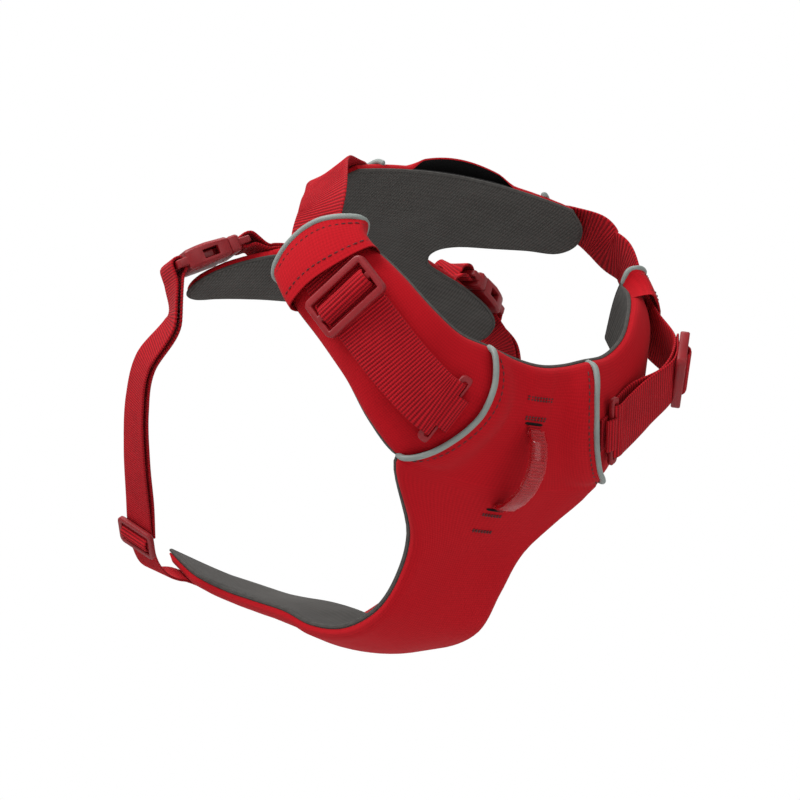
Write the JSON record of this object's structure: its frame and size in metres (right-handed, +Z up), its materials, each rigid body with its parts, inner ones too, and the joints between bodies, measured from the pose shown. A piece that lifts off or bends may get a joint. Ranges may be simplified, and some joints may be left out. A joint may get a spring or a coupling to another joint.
{
  "type": "no pull dog harness",
  "caption": "Padded no-pull dog harness with Y-shaped chest and belly panel, back panel, front leash loop, rear ring, adjustable neck straps and side-release girth buckles.",
  "frame": {"origin": "middle of the underside of the back lining at its narrowest part, where the harness rests on the dog just behind the withers", "axes": "+X towards the dog's head, +Y to the dog's left, +Z up"},
  "size_m": [0.3124, 0.2332, 0.2492],
  "materials": {
    "shell": "matte",
    "lining": "matte",
    "foam": "matte",
    "webbing": "matte",
    "buckle": "satin",
    "piping": "satin",
    "sleeve": "gloss",
    "ring": "satin"
  },
  "bodies": {
    "harness": {"chest_panel_lining": "lining", "chest_panel_foam": "foam", "arm_shell_right": "shell", "arm_shell_left": "shell", "chest_cover": "shell", "chest_piping_right": "piping", "chest_piping_left": "piping", "arm_tip_cover_right": "shell", "arm_tip_piping_right": "piping", "arm_tip_cover_left": "shell", "arm_tip_piping_left": "piping", "back_panel_lining": "lining", "back_panel_foam": "foam", "back_panel_shell": "shell", "yoke_piping_right": "piping", "yoke_piping_left": "piping", "neck_strap_right": "webbing", "chest_ring_right": "buckle", "ring_tab_right": "webbing", "neck_strap_left": "webbing", "chest_ring_left": "buckle", "ring_tab_left": "webbing", "male_clip_right": "buckle", "buckle_tab_right": "webbing", "male_clip_left": "buckle", "buckle_tab_left": "webbing", "girth_strap_right": "webbing", "girth_strap_left": "webbing", "leash_loop_webbing": "webbing", "leash_loop_sleeve": "sleeve", "leash_ring_webbing": "webbing"},
    "leash_ring": {"leash_ring": "ring"},
    "female_socket_right": {"female_socket_right": "buckle"},
    "front_prong_right": {"front_prong_right": "buckle"},
    "rear_prong_right": {"rear_prong_right": "buckle"},
    "neck_slider_right": {"neck_slider_right": "buckle", "neck_slider_wrap_right": "webbing"},
    "girth_slider_right": {"girth_slider_right": "buckle", "girth_slider_wrap_right": "webbing"},
    "female_socket_left": {"female_socket_left": "buckle"},
    "front_prong_left": {"front_prong_left": "buckle"},
    "rear_prong_left": {"rear_prong_left": "buckle"},
    "neck_slider_left": {"neck_slider_left": "buckle", "neck_slider_wrap_left": "webbing"},
    "girth_slider_left": {"girth_slider_left": "buckle", "girth_slider_wrap_left": "webbing"}
  },
  "joints": [
    {"name": "leash_ring_lift", "type": "hinge", "parent": "harness", "child": "leash_ring", "pos_m": [-0.01792, 0.00004, 0.00604], "axis": [0.001, 1, -0.0033], "range_deg": [0, 150]},
    {"name": "buckle_release_right", "type": "slide", "parent": "harness", "child": "female_socket_right", "axis": [-0.1859, -0.8886, -0.4194], "range_m": [0, 0.022], "deforming": ["girth_strap_right"]},
    {"name": "front_prong_squeeze_right", "type": "hinge", "parent": "harness", "child": "front_prong_right", "pos_m": [-0.04215, -0.08272, -0.01067], "axis": [0.1017, 0.4071, -0.9077], "range_deg": [0, 6], "stiffness_Nm_per_rad": 0.5},
    {"name": "rear_prong_squeeze_right", "type": "hinge", "parent": "harness", "child": "rear_prong_right", "pos_m": [-0.05838, -0.07921, -0.01091], "axis": [-0.1017, -0.4071, 0.9077], "range_deg": [0, 6], "stiffness_Nm_per_rad": 0.5},
    {"name": "neck_adjust_right", "type": "slide", "parent": "harness", "child": "neck_slider_right", "axis": [0.4512, 0.3887, -0.8033], "range_m": [0, 0.01]},
    {"name": "girth_adjust_right", "type": "slide", "parent": "harness", "child": "girth_slider_right", "axis": [-0.6073, 0.4807, -0.6326], "range_m": [-0.006, 0.006]},
    {"name": "buckle_release_left", "type": "slide", "parent": "harness", "child": "female_socket_left", "axis": [-0.4609, 0.8272, -0.3214], "range_m": [0, 0.022], "deforming": ["girth_strap_left"]},
    {"name": "front_prong_squeeze_left", "type": "hinge", "parent": "harness", "child": "front_prong_left", "pos_m": [-0.038, 0.08013, -0.00912], "axis": [-0.0461, 0.3394, 0.9395], "range_deg": [0, 6], "stiffness_Nm_per_rad": 0.5},
    {"name": "rear_prong_squeeze_left", "type": "hinge", "parent": "harness", "child": "rear_prong_left", "pos_m": [-0.05272, 0.0727, -0.00715], "axis": [0.0461, -0.3394, -0.9395], "range_deg": [0, 6], "stiffness_Nm_per_rad": 0.5},
    {"name": "neck_adjust_left", "type": "slide", "parent": "harness", "child": "neck_slider_left", "axis": [0.3084, -0.424, -0.8515], "range_m": [0, 0.01]},
    {"name": "girth_adjust_left", "type": "slide", "parent": "harness", "child": "girth_slider_left", "axis": [-0.6279, -0.4317, -0.6476], "range_m": [-0.006, 0.006]}
  ]
}
